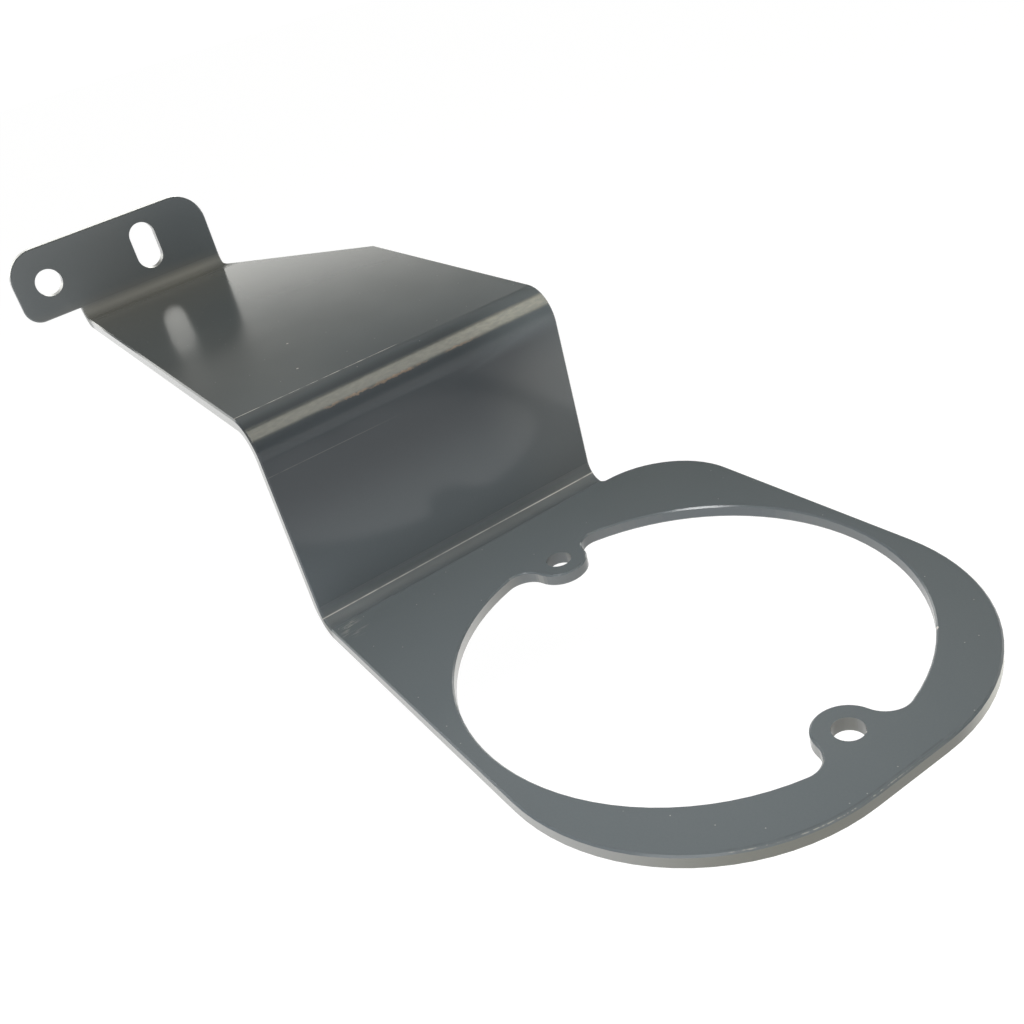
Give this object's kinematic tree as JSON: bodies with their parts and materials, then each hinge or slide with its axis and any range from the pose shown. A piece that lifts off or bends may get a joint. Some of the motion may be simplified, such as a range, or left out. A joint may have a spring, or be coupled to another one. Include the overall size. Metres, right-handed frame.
{
  "type": "front indicator bracket",
  "caption": "Folded sheet steel bracket with a ring plate and screw lugs for a round lamp, a riser, a slanted shelf and an upright tab with a bolt hole and a slot, painted dark grey.",
  "frame": {"origin": "on the lamp axis, midway between the lamp's screw holes, at the ring plate's underside", "axes": "+Z along the lamp axis towards the shelf's side, +X from the tab towards the ring's round front, +Y along the folds, away from the tab's overhang"},
  "size_m": [0.2769, 0.1203, 0.0805],
  "materials": {
    "painted_steel": "satin dark grey coat, thin and rubbed along the folds and cut edges"
  },
  "bodies": {
    "root": {"indicator_bracket": "painted_steel"}
  },
  "joints": []
}
